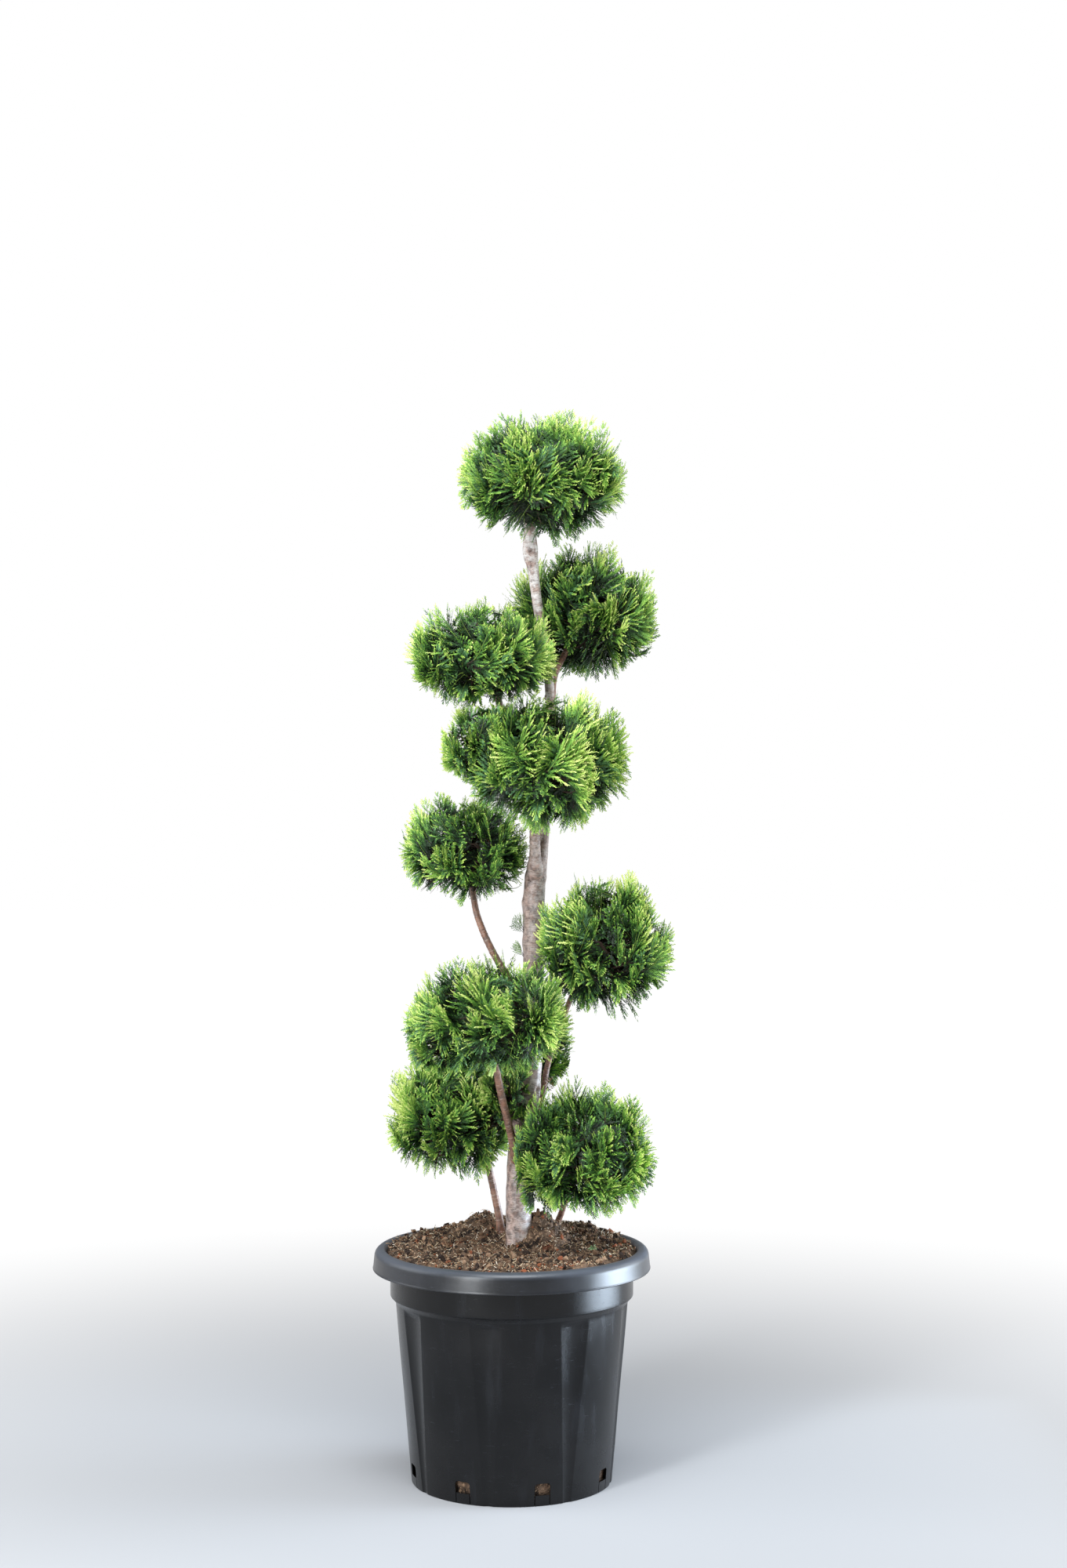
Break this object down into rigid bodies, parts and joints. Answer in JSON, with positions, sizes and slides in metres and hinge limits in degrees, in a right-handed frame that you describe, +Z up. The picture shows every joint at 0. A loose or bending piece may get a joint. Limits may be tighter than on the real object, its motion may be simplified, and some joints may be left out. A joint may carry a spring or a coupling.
{
  "type": "potted lawson cypress",
  "caption": "Conifer clipped into round tufts of flat green sprays on bare boughs, standing in a black plastic nursery pot filled with compost.",
  "frame": {"origin": "centre of the pot's flat underside, on the ground", "axes": "+Z up along the plant; -Y is the front that the picture shows; +X to its right"},
  "size_m": [0.403, 0.3997, 1.4682],
  "materials": {
    "pot_plastic": "black moulded plastic with a satin sheen and light scuffs",
    "compost": "dark brown fibrous potting compost, matt",
    "bark": "smooth pinkish brown and silver-grey young conifer bark with fine rings",
    "bough_bark": "thin orange-brown bark",
    "foliage": "flat sprays of scale leaves, deep green inside and yellow-green at the tips, matt"
  },
  "bodies": {
    "root": {"pot": "pot_plastic", "soil": "compost", "trunk": "bark", "bough_upper_right": "bough_bark", "bough_upper_left": "bough_bark", "bough_middle_front": "bough_bark", "bough_middle_left": "bough_bark", "bough_middle_right": "bough_bark", "bough_lower_front": "bough_bark", "bough_back": "bough_bark", "stem_low_left": "bough_bark", "stem_low_right": "bough_bark", "foliage_top": "foliage", "foliage_upper_right": "foliage", "foliage_upper_left": "foliage", "foliage_middle_front": "foliage", "foliage_middle_left": "foliage", "foliage_middle_right": "foliage", "foliage_lower_front": "foliage", "foliage_back": "foliage", "foliage_low_left": "foliage", "foliage_low_right": "foliage"}
  },
  "joints": []
}
